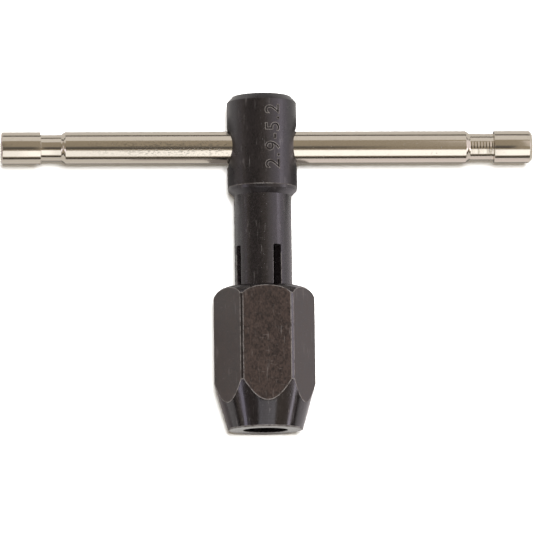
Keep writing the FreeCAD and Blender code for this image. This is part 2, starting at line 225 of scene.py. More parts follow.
class WrenchColours(bpy.types.PropertyGroup):
    """Finishes of the wrench."""

    oxide: FloatVectorProperty(
        name="Black oxide", description="Body of the black finish", subtype="COLOR", size=3,
        min=0, max=1, default=(0.003, 0.0021, 0.0022))
    oxide_nut: FloatVectorProperty(
        name="Nut oxide", description="Black finish over the nut's ground flats", subtype="COLOR", size=3,
        min=0, max=1, default=(0.0125, 0.0078, 0.006))
    worn: FloatVectorProperty(
        name="Worn steel", description="Steel that shows on rubbed edges", subtype="COLOR", size=3,
        min=0, max=1, default=(0.2, 0.185, 0.18))
    nickel: FloatVectorProperty(
        name="Nickel", description="Plating of the sliding bar", subtype="COLOR", size=3,
        min=0, max=1, default=(0.62, 0.565, 0.49))
    floor: FloatVectorProperty(
        name="Floor", description="Pale floor", subtype="COLOR", size=3,
        min=0, max=1, default=(0.86, 0.86, 0.86))


class StageSettings(bpy.types.PropertyGroup):
    """Camera and light."""

    camera_distance: FloatProperty(
        name="Camera distance", description="Camera to the wrench", default=1.25, unit="LENGTH")
    view_width: FloatProperty(
        name="View width", description="Width that the picture takes in at the wrench",
        default=105.1 * MM, unit="LENGTH")
    tilt_to_nose: FloatProperty(
        name="Tilt to the nose", description="Camera's lean from straight above, towards the nose",
        default=math.radians(8.0), unit="ROTATION")
    tilt_to_left: FloatProperty(
        name="Tilt to the left", description="Camera's lean from straight above, towards -X",
        default=math.radians(3.8), unit="ROTATION")
    roll: FloatProperty(
        name="Roll", description="Turn of the picture about its centre",
        default=math.radians(-0.76), unit="ROTATION")
    aim_x: FloatProperty(
        name="Aim, X", description="Point in the picture's middle", default=0.6 * MM, unit="LENGTH")
    aim_y: FloatProperty(
        name="Aim, Y", description="Point in the picture's middle", default=32.5 * MM, unit="LENGTH")
    fill_power: FloatProperty(
        name="Overhead power", description="Power of the big overhead light", default=40.0, unit="POWER")


def sizes():
    return bpy.context.scene.tap_wrench_sizes


def colours():
    return bpy.context.scene.tap_wrench_colours


# ---------------------------------------------------------------- shader maths

class Term:
    """A shader socket or a number, with the arithmetic that the materials use."""

    def __init__(self, tree, socket):
        self.tree = tree
        self.socket = socket

    def combine(self, operation, other, swapped=False):
        first, second = (other, self) if swapped else (self, other)
        return self.tree.math(operation, first, second)

    def __add__(self, other):
        return self.combine("ADD", other)

    def __radd__(self, other):
        return self.combine("ADD", other, True)

    def __sub__(self, other):
        return self.combine("SUBTRACT", other)

    def __rsub__(self, other):
        return self.combine("SUBTRACT", other, True)

    def __mul__(self, other):
        return self.combine("MULTIPLY", other)

    def __rmul__(self, other):
        return self.combine("MULTIPLY", other, True)


class Tree:
    """Builds the nodes of one material."""

    def __init__(self, name):
        self.material = bpy.data.materials.new(name)
        self.material.use_nodes = True
        self.nodes = self.material.node_tree.nodes
        self.links = self.material.node_tree.links
        self.shader = self.nodes["Principled BSDF"]

    def node(self, kind, settings=None, numbered=None, output=0, **named):
        """A node of any kind: its settings first, then its sockets' values or links.

        Sockets that share a name with another one are given by number, the others by name.
        """
        node = self.nodes.new(kind)
        for name, value in (settings or {}).items():
            setattr(node, name, value)
        for number, value in (numbered or {}).items():
            self.fill(node.inputs[number], value)
        for name, value in named.items():
            self.fill(node.inputs[name.replace("_", " ")], value)
        return Term(self, node.outputs[output])

    def fill(self, socket, value):
        if isinstance(value, Term):
            self.links.new(value.socket, socket)
        elif hasattr(value, "__len__") and len(value) == 3 and socket.type == "RGBA":
            socket.default_value = (*value, 1)
        else:
            socket.default_value = value

    def math(self, operation, first, second):
        return self.node("ShaderNodeMath", {"operation": operation}, {0: first, 1: second})

    def mix(self, factor, first, second):
        """Two colours mixed by a factor."""
        return self.node("ShaderNodeMix", {"data_type": "RGBA"},
                         {0: factor, 6: first, 7: second}, output=2)

    def place(self):
        return self.node("ShaderNodeTexCoord", output="Object")

    def stretched(self, vector, scale, rotation=(0, 0, 0)):
        return self.node("ShaderNodeMapping", Vector=vector, Scale=scale, Rotation=rotation)

    def noise(self, vector, scale, detail=3.0, roughness=0.55):
        return self.node("ShaderNodeTexNoise", Vector=vector, Scale=scale, Detail=detail,
                         Roughness=roughness)

    def ramp(self, value, low, high):
        """0 below low, 1 above high."""
        return self.node("ShaderNodeMapRange", {"clamp": True}, {0: value, 1: low, 2: high})

    def bump(self, height, strength, distance):
        """The height field goes to the shader's normal."""
        bump = self.node("ShaderNodeBump", Height=height, Strength=strength, Distance=distance)
        self.fill(self.shader.inputs["Normal"], bump)

    def finish(self, **values):
        for name, value in values.items():
            self.fill(self.shader.inputs[name.replace("_", " ")], value)
        return self.material


def oxide_material(name, colour, roughness, turning=0.5, grain=0.5, worn_share=0.0, gloss=0.875):
    """Black oxide: mottled brown-black, fine tool marks across the axis, grain and a few bright rubs."""
    tree = Tree(name)
    place = tree.place()
    mottle = tree.noise(place, 520.0, 4.0, 0.6)
    speck = tree.noise(tree.stretched(place, (4600.0, 2100.0, 4600.0)), 1.0, 3.0, 0.7)
    marks = tree.noise(tree.stretched(place, (60.0, 9000.0, 60.0)), 1.0, 2.0, 0.5)
    scuffs = tree.noise(tree.stretched(place, (2600.0, 240.0, 1800.0)), 1.0, 3.0, 0.6)
    scratches = tree.noise(tree.stretched(place, (500.0, 9000.0, 900.0), (0.2, 0.1, 0.45)), 1.0, 2.0, 0.5)
    rub = tree.ramp(scuffs, 0.62, 0.8) + tree.ramp(scratches, 0.68, 0.76) * 0.8 * grain
    light = tuple(part * 1.8 + 0.0015 * grain for part in colour)
    dark = tuple(part * 0.35 for part in colour)
    base = tree.mix(tree.ramp(mottle * 0.22 + speck * 0.78, 0.4, 0.6), dark, light)
    base = tree.mix(rub * (0.25 + worn_share), base, tuple(colours().worn))
    tree.bump(speck * grain + marks * turning, 0.35, 0.02 * MM)
    return tree.finish(
        Base_Color=base,
        Metallic=0.0,
        Roughness=roughness + (mottle - 0.5) * 0.12 + (speck - 0.5) * 0.36 * grain,
        Specular_IOR_Level=gloss,
        Specular_Tint=(0.96, 0.93, 1.0))


def worn_material(name):
    """Edges where the black is rubbed thin, broken up where it still holds."""
    tree = Tree(name)
    place = tree.place()
    patches = tree.ramp(tree.noise(place, 900.0, 3.0, 0.6), 0.38, 0.62)
    fine = tree.noise(place, 6000.0, 2.0)
    bare = patches * 0.8 + 0.1
    tree.bump(fine, 0.2, 0.01 * MM)
    return tree.finish(
        Base_Color=tree.mix(bare, tuple(colours().oxide_nut), tuple(colours().worn)),
        Metallic=bare * 0.8,
        Roughness=0.42 - bare * 0.1)


def nickel_material(name):
    """Bright nickel over a turned bar: faint waves, fine haze, a few pits and a flecked patch."""
    tree = Tree(name)
    place = tree.place()
    waves = tree.noise(tree.stretched(place, (140.0, 60.0, 60.0)), 1.0, 3.0, 0.5)
    rings = tree.noise(tree.stretched(place, (5200.0, 30.0, 30.0)), 1.0, 2.0, 0.5)
    haze = tree.noise(place, 900.0, 3.0, 0.6)
    along = tree.node("ShaderNodeSeparateXYZ", output="X", Vector=place)
    across = tree.node("ShaderNodeSeparateXYZ", output="Y", Vector=place)
    # The flecked patch lies left of the head, and fades in and out along the bar and across it.
    left_end = (-36 * MM, -22 * MM)
    right_end = (-9 * MM, -5 * MM)
    near_side = (BAR_AXIS - 2.2 * MM, BAR_AXIS - 1.5 * MM)
    far_side = (BAR_AXIS + 0.3 * MM, BAR_AXIS + 1.2 * MM)
    strip = tree.ramp(across, *near_side) * (1 - tree.ramp(across, *far_side))
    patch = tree.ramp(along, *left_end) * (1 - tree.ramp(along, *right_end)) * strip
    grit = tree.noise(tree.stretched(place, (1500.0, 2600.0, 2600.0)), 1.0, 3.0, 0.6)
    flecks = tree.ramp(grit, 0.5, 0.62)
    pits = tree.ramp(tree.noise(place, 2400.0, 2.0, 0.5), 0.69, 0.78) + flecks * patch * 0.9
    nickel = tuple(colours().nickel)
    dull = tuple(part * 0.45 for part in nickel)
    base = tree.mix(pits * 0.65 + tree.ramp(haze, 0.55, 0.8) * 0.09, nickel, dull)
    tree.bump(waves * 0.9 + rings * 0.05 - pits * 0.35, 0.5, 0.03 * MM)
    return tree.finish(
        Base_Color=base,
        Metallic=1.0,
        Roughness=0.1 + haze * 0.07 + pits * 0.2)


def steel_material(name, colour, roughness):
    """Plain bright or drawn steel of the small inner parts."""
    tree = Tree(name)
    place = tree.place()
    fine = tree.noise(place, 3000.0, 3.0)
    shade = tuple(part * 0.75 for part in colour)
    tree.bump(fine, 0.15, 0.01 * MM)
    return tree.finish(
        Base_Color=tree.mix(fine, shade, colour),
        Metallic=1.0,
        Roughness=roughness + fine * 0.1)


def repaint(name, material):
    """A CAD node keeps its shape and takes a new finish."""
    node = frame["nodes"][name]
    node.data.materials.clear()
    node.data.materials.append(material)
    return node


# ---------------------------------------------------------------- mesh helpers

def new_object(name, mesh):
    piece = bpy.data.objects.new(name, mesh)
    bpy.context.collection.objects.link(piece)
    return piece


def mesh_from(name, builder, materials):
    mesh = bpy.data.meshes.new(name)
    builder.to_mesh(mesh)
    builder.free()
    for material in materials:
        mesh.materials.append(material)
    return mesh


def rounded(points, radius, steps=3):
    """A polyline with each real corner replaced by a small arc of chords."""
    result = [points[0]]
    for before, corner, after in zip(points, points[1:], points[2:]):
        here = Vector(corner)
        back = Vector(before) - here
        ahead = Vector(after) - here
        turn = math.pi - back.angle(ahead)
        if turn < math.radians(8):
            result.append(corner)
            continue
        reach = min(radius * math.tan(turn / 2), back.length * 0.45, ahead.length * 0.45)
        start = here + back.normalized() * reach
        end = here + ahead.normalized() * reach
        for step in range(steps + 1):
            share = step / steps
            point = start.lerp(here, share).lerp(here.lerp(end, share), share)
            result.append((point.x, point.y))
    result.append(points[-1])
    return result


def full_turn(around):
    """Angles evenly spaced round a circle."""
    return [2 * math.pi * index / around for index in range(around)]


def skin(mesh, rings, looped=False):
    """Quads from each ring of vertices to the next.  The last joins the first, or both ends are closed."""
    for ring, following in zip(rings, rings[1:] + rings[:1] if looped else rings[1:]):
        for index in range(len(ring)):
            after = (index + 1) % len(ring)
            mesh.faces.new((ring[index], ring[after], following[after], following[index]))
    if not looped:
        mesh.faces.new(rings[0])
        mesh.faces.new(rings[-1])


def turn_about_chuck(outline, around):
    """A closed bmesh turned about the chuck's axis from a closed outline of (y, radius) pairs."""
    mesh = bmesh.new()
    rings = [
        [mesh.verts.new((radius * math.sin(angle), place, radius * math.cos(angle)))
         for angle in full_turn(around)]
        for place, radius in outline]
    skin(mesh, rings, looped=True)
    bmesh.ops.recalc_face_normals(mesh, faces=mesh.faces)
    return mesh


def smooth_by_angle(mesh, degrees):
    mesh.shade_smooth()
    mesh.set_sharp_from_angle(angle=math.radians(degrees))


def weigh_normals(piece):
    """Flat faces stay flat beside small rounded edges."""
    weighted = piece.modifiers.new("weigh", "WEIGHTED_NORMAL")
    weighted.keep_sharp = True
    weighted.weight = 100
    settle(piece)


def settle(piece):
    """The evaluated mesh becomes the piece's own, and its modifiers go."""
    graph = bpy.context.evaluated_depsgraph_get()
    graph.update()
    mesh = bpy.data.meshes.new_from_object(piece.evaluated_get(graph))
    old = piece.data
    piece.modifiers.clear()
    piece.data = mesh
    bpy.data.meshes.remove(old)


def cut(piece, cutter, operation="DIFFERENCE"):
    """Boolean with another object, which is used up.  It's done in millimetres, for the solver's sake."""
    for item in (piece, cutter):
        item.data.transform(Matrix.Scale(1 / MM, 4))
    change = piece.modifiers.new("cut", "BOOLEAN")
    change.solver = "MANIFOLD"
    change.operation = operation
    change.object = cutter
    settle(piece)
    piece.data.transform(Matrix.Scale(MM, 4))
    bpy.data.objects.remove(cutter)


def edge_band(mesh, width, limit_degrees, keep):
    """Rounds the sharp edges of a bmesh that a test keeps, and gives the new faces the worn finish."""
    limit = math.radians(limit_degrees)
    sharp = [edge for edge in mesh.edges
             if edge.is_manifold and edge.calc_face_angle(0) > limit and keep(edge)]
    bmesh.ops.bevel(mesh, geom=sharp, offset=width, offset_type="OFFSET", segments=2, profile=0.5,
                    affect="EDGES", clamp_overlap=False, material=WORN)


def finish_piece(piece, body, slot_name, *nodes):
    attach(piece, body)
    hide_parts(*nodes)


# ---------------------------------------------------------------- pieces

class WRENCH_OT_body(bpy.types.Operator):
    """Head and shoulder, with the cross hole and the stamped size range"""

    bl_idname = "tap_wrench.body"
    bl_label = "Body"

    def execute(self, context):
        size = sizes()
        lip = HEAD_END - size.head_length
        foot = lip - size.shoulder_length
        face_inner = 0.4 * MM
        pole = 0.02 * MM
        outline = rounded([
            (foot, size.ball_bore_radius),
            (foot, size.shank_radius),
            (lip - size.lip_length, HEAD_R - size.lip_taper),
            (lip - 2 * size.lip_burr, HEAD_R - size.lip_taper * 2 * size.lip_burr / size.lip_length),
            (lip - size.lip_burr, HEAD_R + size.lip_burr * 0.4),
            (lip, HEAD_R),
            (HEAD_END - size.head_chamfer_axial, HEAD_R),
            (HEAD_END, HEAD_R - size.head_chamfer_radial),
            (HEAD_END, face_inner)], size.edge_round)
        # The seam with the shank stays sharp, so that the two meet exactly: the bore's point and the four
        # of the rounded seam are left out.
        seam_points = 5
        outline = [(foot, size.ball_bore_radius), (foot, size.shank_radius)] + outline[seam_points:]
        outline += [(HEAD_END, pole), (BAR_AXIS, pole), (BAR_AXIS, size.ball_bore_radius)]
        materials = [
            oxide_material("oxide_body", tuple(colours().oxide), 0.3, turning=0.7, grain=0.4),
            worn_material("oxide_body_worn"),
            oxide_material("oxide_trough", tuple(part * 0.5 for part in colours().oxide), 0.5)]
        mesh = turn_about_chuck(outline, size.around * 2)
        for face in mesh.faces:
            middle = face.calc_center_median()
            on_burr = abs(middle.y - lip + size.lip_burr) < size.lip_burr
            if on_burr and math.hypot(middle.x, middle.z) > BAR_R:
                face.material_index = WORN
        mesh = mesh_from("wrench_body_black", mesh, materials)
        piece = new_object("wrench_body_black", mesh)
        cut(piece, self.cross_hole(size, materials))
        self.stamp(piece, size, materials)
        mesh = bmesh.new()
        mesh.from_mesh(piece.data)
        weld = 5e-7
        bmesh.ops.remove_doubles(mesh, verts=mesh.verts, dist=weld)
        mesh.to_mesh(piece.data)
        mesh.free()
        smooth_by_angle(piece.data, 25)
        weigh_normals(piece)
        finish_piece(piece, "body", "black_body", "wrench_body")
        return {"FINISHED"}

    @staticmethod
    def cross_hole(size, materials):
        """Cutter along X: the bar's hole with a coned mouth at each end."""
        radius = size.cross_hole_radius
        inner = HEAD_R - size.mouth_width
        beyond = 1.5 * MM
        mouth_round = 0.3 * MM
        half = rounded([
            (0.0, radius), (inner, radius), (HEAD_R + beyond, radius + size.mouth_width + beyond)],
            mouth_round, 4)
        outline = [(-place, r) for place, r in reversed(half[1:])] + half
        mesh = bmesh.new()
        rings = [
            [mesh.verts.new((place, BAR_AXIS + r * math.cos(angle), r * math.sin(angle)))
             for angle in full_turn(size.around)]
            for place, r in outline]
        skin(mesh, rings)
        bmesh.ops.recalc_face_normals(mesh, faces=mesh.faces)
        return new_object("cross_hole_cutter", mesh_from("cross_hole_cutter", mesh, materials))

    def stamp(self, piece, size, materials):
        """Burrs first, then the digits' troughs."""
        burr_swell = size.mark_height * 0.032
        burr_root = -0.1 * MM
        trough_shrink = size.mark_height * 0.012
        clear_of_burrs = 0.4 * MM
        burrs = self.wrapped_text(size, burr_swell, burr_root, size.mark_lip)
        troughs = self.wrapped_text(size, -trough_shrink, -size.mark_depth, clear_of_burrs)
        for finish, cutter, operation in (
                (WORN, burrs, "UNION"), (SECOND_FINISH, troughs, "DIFFERENCE")):
            for material in materials:
                cutter.data.materials.append(material)
            cutter.data.polygons.foreach_set("material_index", [finish] * len(cutter.data.polygons))
            cut(piece, cutter, operation)

    @staticmethod
    def wrapped_text(size, swell, low, high):
        """The size mark as a solid bent round the head, between two heights over its surface.

        It is drawn flat in millimetres, like the cuts, and comes to metres as it is bent.
        """
        type_size = 1.38
        weld = 1e-4
        middle_share = 0.485
        curve = bpy.data.curves.new("size_mark", "FONT")
        curve.body = size.mark_text
        curve.size = size.mark_height * type_size / MM
        curve.space_character = 1.12
        curve.align_x = "CENTER"
        curve.offset = swell / MM
        curve.extrude = (high - low) / 2 / MM
        curve.resolution_u = 4
        text = new_object("size_mark", curve)
        graph = bpy.context.evaluated_depsgraph_get()
        graph.update()
        flat = bpy.data.meshes.new_from_object(text.evaluated_get(graph))
        bpy.data.objects.remove(text)
        mesh = bmesh.new()
        mesh.from_mesh(flat)
        bpy.data.meshes.remove(flat)
        bmesh.ops.remove_doubles(mesh, verts=mesh.verts, dist=weld)
        steps = 10
        for step in range(1, steps):
            height = size.mark_height / MM * step / steps
            bmesh.ops.bisect_plane(mesh, geom=mesh.verts[:] + mesh.edges[:] + mesh.faces[:],
                                   plane_co=(0, height, 0), plane_no=(0, 1, 0), dist=weld)
        bmesh.ops.triangulate(mesh, faces=mesh.faces)
        bmesh.ops.recalc_face_normals(mesh, faces=mesh.faces)
        centre_y = HEAD_END - size.head_length * middle_share
        for vertex in mesh.verts:
            along, up, out = vertex.co * MM
            angle = size.mark_angle - (up - size.mark_height / 2) / HEAD_R
            radius = HEAD_R + out + (low + high) / 2
            vertex.co = (radius * math.sin(angle), centre_y + along, radius * math.cos(angle))
        return new_object("size_mark", mesh_from("size_mark", mesh, []))


class WRENCH_OT_fingers(bpy.types.Operator):
    """The slotted shank below the shoulder, as four spring fingers, each set square to its bend joint's
    axis
    """

    bl_idname = "tap_wrench.fingers"
    bl_label = "Spring fingers"

    def execute(self, context):
        size = sizes()
        materials = [
            oxide_material("oxide_shank", tuple(colours().oxide), 0.27, turning=0.8, grain=0.75),
            worn_material("oxide_shank_worn")]
        for number in FINGERS:
            self.make_finger(number, size, materials)
        return {"FINISHED"}

    def stations(self, size):
        """Sections along the finger: place, outer radius, half slot, inner radius or None on the flats."""
        foot = HEAD_END - size.head_length - size.shoulder_length
        half = size.slot_width / 2
        corner = size.slot_corner
        screw_low, screw_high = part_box("spring_screw")[0][1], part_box("spring_screw")[1][1]
        bore_end = screw_low - 0.3 * MM
        lead = size.jaw_square / 2 + size.jaw_lead_in
        lead_step = 0.01 * MM
        thread_step = 0.05 * MM
        corner_steps = 4
        rows = [
            (JAW_TIP, size.tip_radius, half, lead),
            (JAW_TIP + size.jaw_lead_in, None, half, size.jaw_square / 2),
            (JAW_TIP + size.jaw_lead_in + lead_step, None, half, None),
            (size.cone_end, size.thread_radius, half, None),
            (size.jaw_grip_end, size.thread_radius, half, None),
            (size.jaw_grip_end, size.thread_radius, half, size.tap_bore_radius),
            (size.thread_end, size.thread_radius, half, size.tap_bore_radius),
            (size.thread_end + thread_step, size.shank_radius, half, size.tap_bore_radius),
            (SLOT_END - corner, size.shank_radius, half, size.tap_bore_radius)]
        for step in range(1, corner_steps + 1):
            angle = math.pi / 2 * step / corner_steps
            rows.append((SLOT_END - corner * (1 - math.sin(angle)), size.shank_radius,
                         half - corner * (1 - math.cos(angle)), size.tap_bore_radius))
        rows += [
            (SLOT_END, size.shank_radius, 0.0, size.tap_bore_radius),
            (bore_end, size.shank_radius, 0.0, size.tap_bore_radius),
            (bore_end, size.shank_radius, 0.0, size.screw_bore_radius),
            (screw_high, size.shank_radius, 0.0, size.screw_bore_radius),
            (screw_high, size.shank_radius, 0.0, size.ball_bore_radius),
            (foot, size.shank_radius, 0.0, size.ball_bore_radius)]
        slope = (size.thread_radius - size.tip_radius) / (size.cone_end - JAW_TIP)
        return [(place, outer if outer else size.tip_radius + slope * (place - JAW_TIP), slot, inner)
                for place, outer, slot, inner in rows]

    def make_finger(self, number, size, materials):
        axis = Vector(joint_named("finger_%d_bend" % number)["axis"])
        across = Vector((axis.x, 0, axis.z)).normalized()
        out = across.cross(ALONG_Y)
        steps_out = 26
        steps_in = 10
        long_step = 1.6 * MM
        rows = self.stations(size)
        full = []
        for row, following in zip(rows, rows[1:]):
            full.append(row)
            gap = following[0] - row[0]
            smooth = gap > long_step and row[1:] == following[1:]
            for step in range(1, int(gap / long_step) + 1 if smooth else 1):
                full.append((row[0] + gap * step / (int(gap / long_step) + 1), *row[1:]))
        full.append(rows[-1])
        mesh = bmesh.new()
        sections = []
        for place, outer, half, inner in full:
            spread = math.pi / 4 - math.asin(half / outer)
            points = [(outer * math.cos(a), outer * math.sin(a))
                      for a in (spread * (2 * i / steps_out - 1) for i in range(steps_out + 1))]
            if inner is None:
                flat = size.jaw_square / 2
                width = flat - half * math.sqrt(2)
                points += [(flat, width * (1 - 2 * i / steps_in)) for i in range(steps_in + 1)]
            else:
                spread = math.pi / 4 - math.asin(half / inner)
                points += [(inner * math.cos(a), inner * math.sin(a))
                           for a in (spread * (1 - 2 * i / steps_in) for i in range(steps_in + 1))]
            sections.append([mesh.verts.new(out * u + across * v + ALONG_Y * place) for u, v in points])
        skin(mesh, sections)
        bmesh.ops.dissolve_degenerate(mesh, dist=1e-8, edges=mesh.edges)
        bmesh.ops.recalc_face_normals(mesh, faces=mesh.faces)
        slot_side = SLOT_END - size.slot_corner * 2
        band = 0.11 * MM
        edge_band(mesh, band, 50, lambda edge: all(
            JAW_TIP - 1e-6 < vertex.co.y < slot_side
            and math.hypot(vertex.co.x, vertex.co.z) > size.tip_radius - 1e-5
            for vertex in edge.verts))
        data = mesh_from("finger_%d" % number, mesh, materials)
        smooth_by_angle(data, 28)
        piece = new_object("finger_%d" % number, data)
        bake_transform(piece)
        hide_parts("jaw_%d" % number)


class WRENCH_OT_nut(bpy.types.Operator):
    """Hexagonal chuck nut with rubbed edges"""

    bl_idname = "tap_wrench.nut"
    bl_label = "Chuck nut"

    def execute(self, context):
        size = sizes()
        mesh = node_mesh("chuck_nut")
        bmesh.ops.dissolve_limit(mesh, angle_limit=math.radians(0.4), verts=mesh.verts, edges=mesh.edges)
        mesh.normal_update()
        flats = NUT_HIGH[2]
        flat_spread = 0.02 * MM
        nose_edge_end = 0.19 * MM
        nose_edge_radius = 6.5 * MM
        outside = 5.9 * MM
        for face in mesh.faces:
            middle = face.calc_center_median()
            out = face.normal.dot(middle)
            flat = abs(face.normal.y) < 0.01 and abs(out - flats) < flat_spread
            wide = math.hypot(middle.x, middle.z) > nose_edge_radius
            nose_edge = wide and 1e-6 < middle.y < nose_edge_end
            face.material_index = 0 if flat else WORN if nose_edge else SECOND_FINISH
        edge_band(mesh, size.nut_edge, 11, lambda edge: all(
            math.hypot(vertex.co.x, vertex.co.z) > outside or vertex.co.y < 1e-5 for vertex in edge.verts))
        data = mesh_from("chuck_nut_black", mesh, [
            oxide_material("oxide_nut", tuple(colours().oxide_nut), 0.47, turning=0.25, grain=1.0,
                           worn_share=0.1, gloss=0.62),
            worn_material("oxide_nut_worn"),
            oxide_material("oxide_nut_turned", tuple(colours().oxide), 0.17, turning=0.8, grain=0.35)])
        smooth_by_angle(data, 25)
        piece = new_object("chuck_nut_black", data)
        weigh_normals(piece)
        finish_piece(piece, "nut", "black_nut", "chuck_nut")
        thread = repaint("nut_thread", oxide_material(
            "oxide_thread", tuple(colours().oxide_nut), 0.4, turning=0.8, grain=0.4))
        # Without this the threaded band touches the nut once the nut has turned.
        play = thread.modifiers.new("running play", "DISPLACE")
        play.mid_level = 0.0
        play.strength = -0.03 * MM
        return {"FINISHED"}


class WRENCH_OT_bar(bpy.types.Operator):
    """Nickel-plated sliding bar, swept along its axis by a node tree"""

    bl_idname = "tap_wrench.bar"
    bl_label = "Sliding bar"

    def execute(self, context):
        size = sizes()
        outline = self.with_ridges(turned_profile("sliding_bar"), size)
        outline = rounded(outline, size.edge_round)
        pole = 0.01 * MM
        outline = [(outline[0][0], pole)] + outline + [(outline[-1][0], pole)]
        mesh = bpy.data.meshes.new("bar_path")
        places = self.spread(outline)
        mesh.from_pydata([(place, BAR_AXIS, 0) for place, _ in places],
                         [(index, index + 1) for index in range(len(places) - 1)], [])
        radii = mesh.attributes.new("radius", "FLOAT", "POINT")
        radii.data.foreach_set("value", [radius for _, radius in places])
        piece = new_object("sliding_bar_nickel", mesh)
        change = piece.modifiers.new("turned bar", "NODES")
        change.node_group = self.turned_tree()
        values = {"Segments": size.around, "Finish": nickel_material("nickel_plate")}
        for item in change.node_group.interface.items_tree:
            if item.item_type == "SOCKET" and item.in_out == "INPUT" and item.name in values:
                change[item.identifier] = values[item.name]
        settle(piece)
        smooth_by_angle(piece.data, 30)
        finish_piece(piece, "bar", "plated_bar", "sliding_bar")
        return {"FINISHED"}

    @staticmethod
    def spread(outline):
        """Points that share a place go a hair apart, so that the path keeps a direction and its length."""
        hair = 0.2e-6
        result = [outline[0]]
        for place, radius in outline[1:]:
            result.append((max(place, result[-1][0] + hair), radius))
        limit = outline[-1][0] + hair
        for index in reversed(range(len(result))):
            place, radius = result[index]
            limit = min(place, limit - hair)
            result[index] = (limit, radius)
        return result

    @staticmethod
    def with_ridges(outline, size):
        """Feed ridges in the right neck: low rounded rings, a feed apart."""
        start = max(index for index, (near, far) in enumerate(zip(outline, outline[1:]))
                    if abs(near[1] - far[1]) < 1e-6 and near[1] < BAR_R * 0.95)
        (low, neck), (high, _) = outline[start:start + 2]
        count = int((high - low) / size.feed_pitch)
        seed = 4
        draw = random.Random(seed)
        ridges = []
        steps = 8
        for ring in range(count):
            height = size.feed_depth * draw.uniform(0.4, 1.3)
            for step in range(steps):
                share = step / steps
                place = low + (ring + share) * (high - low) / count
                if place > low + 1e-5:
                    ridges.append((place, neck + height * (0.5 - 0.5 * math.cos(2 * math.pi * share))))
        return outline[:start + 1] + ridges + outline[start + 1:]

    @staticmethod
    def turned_tree():
        """Node tree: a path with a radius at each point becomes a closed turned solid."""
        tree = bpy.data.node_groups.new("turned_solid", "GeometryNodeTree")
        tree.interface.new_socket("Path", in_out="INPUT", socket_type="NodeSocketGeometry")
        segments = tree.interface.new_socket("Segments", in_out="INPUT", socket_type="NodeSocketInt")
        segments.default_value = 96
        tree.interface.new_socket("Finish", in_out="INPUT", socket_type="NodeSocketMaterial")
        tree.interface.new_socket("Solid", in_out="OUTPUT", socket_type="NodeSocketGeometry")
        entry = tree.nodes.new("NodeGroupInput")
        leave = tree.nodes.new("NodeGroupOutput")
        radius = tree.nodes.new("GeometryNodeInputNamedAttribute")
        radius.data_type = "FLOAT"
        radius.inputs["Name"].default_value = "radius"
        path = tree.nodes.new("GeometryNodeMeshToCurve")
        ring = tree.nodes.new("GeometryNodeCurvePrimitiveCircle")
        ring.inputs["Radius"].default_value = 1.0
        sweep = tree.nodes.new("GeometryNodeCurveToMesh")
        sweep.inputs["Fill Caps"].default_value = True
        real = tree.nodes.new("GeometryNodeRealizeInstances")
        paint = tree.nodes.new("GeometryNodeSetMaterial")
        join = tree.links.new
        join(entry.outputs["Path"], path.inputs["Mesh"])
        join(entry.outputs["Segments"], ring.inputs["Resolution"])
        join(path.outputs["Curve"], sweep.inputs["Curve"])
        join(ring.outputs["Curve"], sweep.inputs["Profile Curve"])
        join(radius.outputs["Attribute"], sweep.inputs["Scale"])
        join(sweep.outputs["Mesh"], real.inputs["Geometry"])
        join(real.outputs["Geometry"], paint.inputs["Geometry"])
        join(entry.outputs["Finish"], paint.inputs["Material"])
        join(paint.outputs["Geometry"], leave.inputs["Solid"])
        return tree


class WRENCH_OT_detent(bpy.types.Operator):
    """Finishes of the ball, spring and set screw inside the body"""

    bl_idname = "tap_wrench.detent"
    bl_label = "Detent"

    def execute(self, context):
        finishes = {
            "detent_ball": steel_material("ball_steel", (0.62, 0.62, 0.62), 0.12),
            "detent_spring": steel_material("spring_steel", (0.34, 0.34, 0.35), 0.28),
            "spring_screw": oxide_material("oxide_screw", tuple(colours().oxide), 0.35)}
        for name, material in finishes.items():
            repaint(name, material)
        return {"FINISHED"}


# ---------------------------------------------------------------- stage

